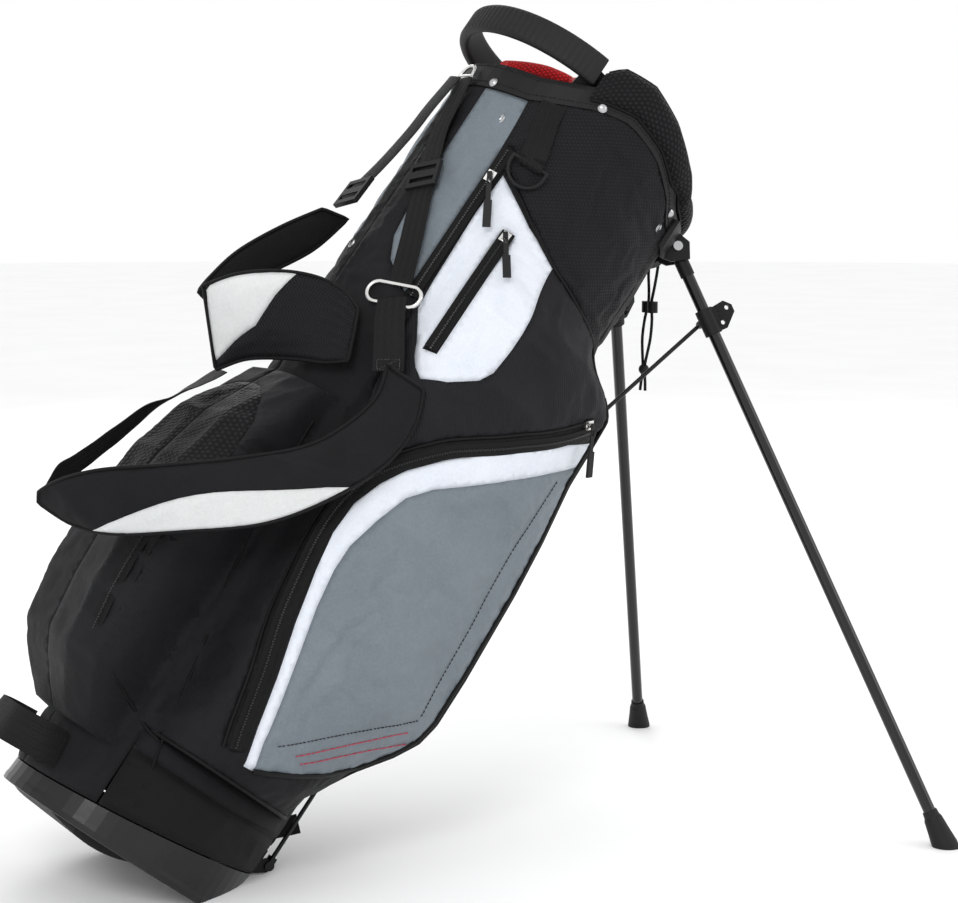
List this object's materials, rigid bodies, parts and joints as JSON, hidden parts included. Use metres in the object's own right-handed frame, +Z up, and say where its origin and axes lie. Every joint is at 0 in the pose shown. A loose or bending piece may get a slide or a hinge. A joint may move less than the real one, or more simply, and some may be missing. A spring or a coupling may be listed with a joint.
{
  "type": "golf stand bag",
  "caption": "Golf stand bag leaning on its own deployed legs, with divided top, zipped side pockets, carry straps and folding leg linkage.",
  "frame": {"origin": "on the ground, at the middle of the part's footprint box, bag leaning as it stands in use", "axes": "+Z up from the ground; +X the way the bag leans, towards its leg tips; +Y across the bag, towards its far side"},
  "size_m": [0.9284, 0.6172, 0.8584],
  "materials": {
    "gloss_black": "gloss",
    "leg_paint": "gloss",
    "matte_black": "satin",
    "rod_paint": "satin",
    "rubber": "matte",
    "black_nylon": "woven",
    "black_mesh": "spacer mesh",
    "grey_nylon": "woven",
    "white_nylon": "woven",
    "red_mesh": "spacer mesh",
    "webbing": "woven webbing",
    "zip_tape": "zip tape",
    "silver": "polished",
    "steel_pin": "satin"
  },
  "bodies": {
    "bag": {"base_cup": "gloss_black", "base_pad": "rubber", "pivot_pins": "steel_pin", "body_shell": "black_nylon", "side_stays": "matte_black", "collar_frame": "matte_black", "collar_cuff": "black_mesh", "top_handle": "matte_black", "collar_rivets": "silver", "divider_panels": "black_nylon", "divider_pad": "red_mesh", "leg_bracket": "matte_black", "near_garment_pocket": "white_nylon", "far_garment_pocket": "black_nylon", "near_ball_pocket": "grey_nylon", "far_ball_pocket": "grey_nylon", "lower_spine_pocket": "black_nylon", "upper_spine_pocket": "black_mesh", "garment_zip": "zip_tape", "panel_zip": "zip_tape", "ball_zip": "zip_tape", "carry_handle": "webbing", "towel_loop": "webbing", "leg_strap": "webbing", "snap_studs": "silver", "top_ring": "silver", "near_webbing": "webbing", "near_buckle": "matte_black", "junction_ring": "silver", "lower_webbing": "webbing", "near_pad": "black_mesh", "far_webbing": "webbing", "far_buckle": "matte_black", "far_pad": "white_nylon", "back_strap": "webbing", "near_cord": "webbing", "far_cord": "webbing", "cord_lock": "matte_black", "cord_knot": "webbing"},
    "near_leg": {"near_leg_tube": "leg_paint", "near_leg_head": "matte_black", "near_leg_clip": "matte_black", "near_leg_boot": "rubber"},
    "far_leg": {"far_leg_tube": "leg_paint", "far_leg_head": "matte_black", "far_leg_clip": "matte_black", "far_leg_boot": "rubber"},
    "near_rod": {"near_push_rod": "rod_paint"},
    "far_rod": {"far_push_rod": "rod_paint"},
    "near_link": {"near_link": "rod_paint"},
    "far_link": {"far_link": "rod_paint"},
    "rocker": {"rocker_plate": "matte_black"},
    "towel_ring": {"towel_ring": "matte_black"},
    "garment_slider": {"garment_slider": "silver"},
    "garment_puller": {"garment_puller": "matte_black"},
    "panel_slider": {"panel_slider": "silver"},
    "panel_puller": {"panel_puller": "matte_black"},
    "ball_slider": {"ball_slider": "silver"},
    "ball_puller": {"ball_puller": "matte_black"}
  },
  "joints": [
    {"name": "near_leg_fold", "type": "hinge", "parent": "bag", "child": "near_leg", "pos_m": [0.26276, -0.063, 0.60928], "axis": [0.3227, 0.9135, -0.2476], "range_deg": [0, 57]},
    {"name": "near_link_turn", "type": "hinge", "parent": "near_leg", "child": "near_link", "pos_m": [0.28413, -0.07902, 0.52956], "axis": [0.3227, 0.9135, -0.2476], "range_deg": [-72, 0.5]},
    {"name": "near_rod_slide", "type": "slide", "parent": "bag", "child": "near_rod", "axis": [0.6088, 0, 0.7934], "range_m": [-0.043, 0.0005]},
    {"name": "far_leg_fold", "type": "hinge", "parent": "bag", "child": "far_leg", "pos_m": [0.26276, 0.063, 0.60928], "axis": [-0.3227, 0.9135, 0.2476], "range_deg": [0, 57]},
    {"name": "far_link_turn", "type": "hinge", "parent": "far_leg", "child": "far_link", "pos_m": [0.28413, 0.07902, 0.52956], "axis": [-0.3227, 0.9135, 0.2476], "range_deg": [-72, 0.5]},
    {"name": "far_rod_slide", "type": "slide", "parent": "bag", "child": "far_rod", "axis": [0.6088, 0, 0.7934], "range_m": [-0.043, 0.0005]},
    {"name": "rocker_tilt", "type": "hinge", "parent": "bag", "child": "rocker", "pos_m": [-0.30814, 0, 0.06569], "axis": [0, 1, 0], "range_deg": [-0.5, 20]},
    {"name": "towel_ring_swing", "type": "hinge", "parent": "bag", "child": "towel_ring", "pos_m": [0.06175, -0.10974, 0.69672], "axis": [-0.68, 0.515, 0.5218], "range_deg": [0, 80]},
    {"name": "garment_slide", "type": "slide", "parent": "bag", "child": "garment_slider", "axis": [0.6088, 0, 0.7934], "range_m": [-0.07, 0]},
    {"name": "garment_puller_swing", "type": "hinge", "parent": "garment_slider", "child": "garment_puller", "pos_m": [0.02868, -0.08811, 0.68428], "axis": [-0.5411, -0.7314, 0.4152], "range_deg": [-15, 15]},
    {"name": "panel_slide", "type": "slide", "parent": "bag", "child": "panel_slider", "axis": [0.7015, 0.1593, 0.6947], "range_m": [-0.035, 0]},
    {"name": "panel_puller_swing", "type": "hinge", "parent": "panel_slider", "child": "panel_puller", "pos_m": [0.02933, -0.11631, 0.62453], "axis": [-0.3722, -0.7493, 0.5477], "range_deg": [-15, 15]},
    {"name": "ball_slide", "type": "slide", "parent": "bag", "child": "ball_slider", "axis": [0.9335, 0.3554, 0.0488], "range_m": [-0.045, 0]},
    {"name": "ball_puller_swing", "type": "hinge", "parent": "ball_slider", "child": "ball_puller", "pos_m": [0.11427, -0.13374, 0.43835], "axis": [0.3586, -0.9282, -0.0997], "range_deg": [-15, 15]}
  ],
  "couplings": [
    {"joint": "far_leg_fold", "follows": "near_leg_fold", "ratio": 1},
    {"joint": "near_link_turn", "follows": "near_leg_fold", "ratio": -1.2587},
    {"joint": "near_rod_slide", "follows": "near_leg_fold", "m_per_rad": -0.042601},
    {"joint": "far_link_turn", "follows": "near_leg_fold", "ratio": -1.2587},
    {"joint": "far_rod_slide", "follows": "near_leg_fold", "m_per_rad": -0.042601},
    {"joint": "rocker_tilt", "follows": "near_leg_fold", "ratio": 0.3423}
  ]
}
